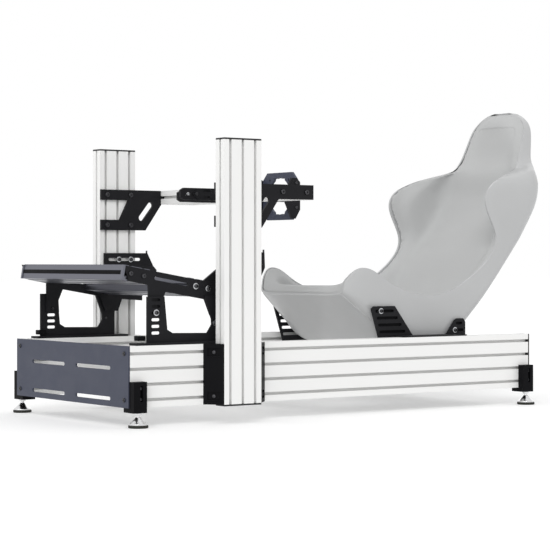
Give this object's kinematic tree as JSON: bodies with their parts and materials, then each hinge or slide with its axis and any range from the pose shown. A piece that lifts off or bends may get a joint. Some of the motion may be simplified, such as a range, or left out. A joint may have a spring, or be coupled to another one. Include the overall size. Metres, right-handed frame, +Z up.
{
  "type": "sim racing cockpit",
  "caption": "Aluminium-profile sim racing cockpit: slotted rails on levelling feet, wheel deck with open mounting plate, sloped pedal deck and a reclined bucket seat.",
  "frame": {"origin": "on the floor under the middle of the overall box", "axes": "+Z up, -Y towards the pedals (the way the driver faces), +X towards the driver's left"},
  "size_m": [0.68, 1.5995, 0.9],
  "materials": {
    "white_profile": "satin white powder coat",
    "black_steel": "fine matt black powder coat",
    "black_casting": "semi-gloss black casting",
    "slate_steel": "satin slate grey powder coat",
    "graphite_profile": "dark anodised, satin",
    "bright_steel": "polished",
    "foot_rubber": "matt",
    "cap_plastic": "matt black",
    "seat_shell_grey": "smooth pale grey, low gloss",
    "seat_fabric": "fine pale grey cloth"
  },
  "bodies": {
    "root": {"left_rail": "white_profile", "right_rail": "white_profile", "front_crossmember": "white_profile", "middle_crossmember": "white_profile", "rear_crossmember": "white_profile", "left_upright": "white_profile", "right_upright": "white_profile", "left_wheel_beam": "white_profile", "right_wheel_beam": "white_profile", "left_wheel_bracket": "black_steel", "right_wheel_bracket": "black_steel", "left_wheel_arm": "black_steel", "right_wheel_arm": "black_steel", "left_pedal_plate": "black_steel", "right_pedal_plate": "black_steel", "left_pedal_base": "black_steel", "right_pedal_base": "black_steel", "left_seat_bracket": "black_steel", "right_seat_bracket": "black_steel", "left_front_corner_casting": "black_casting", "left_rear_corner_casting": "black_casting", "right_front_corner_casting": "black_casting", "right_rear_corner_casting": "black_casting", "left_front_foot_bracket": "black_casting", "left_rear_foot_bracket": "black_casting", "right_front_foot_bracket": "black_casting", "right_rear_foot_bracket": "black_casting", "front_plate": "slate_steel", "wheel_plate": "slate_steel", "front_pedal_bar": "graphite_profile", "rear_pedal_bar": "graphite_profile", "levelling_feet": "bright_steel", "seat_spacers": "bright_steel", "foot_pads": "foot_rubber", "rail_end_caps": "cap_plastic", "upright_caps": "cap_plastic", "seat_shell": "seat_shell_grey", "seat_cushion": "seat_fabric", "back_cushion": "seat_fabric"}
  },
  "joints": []
}
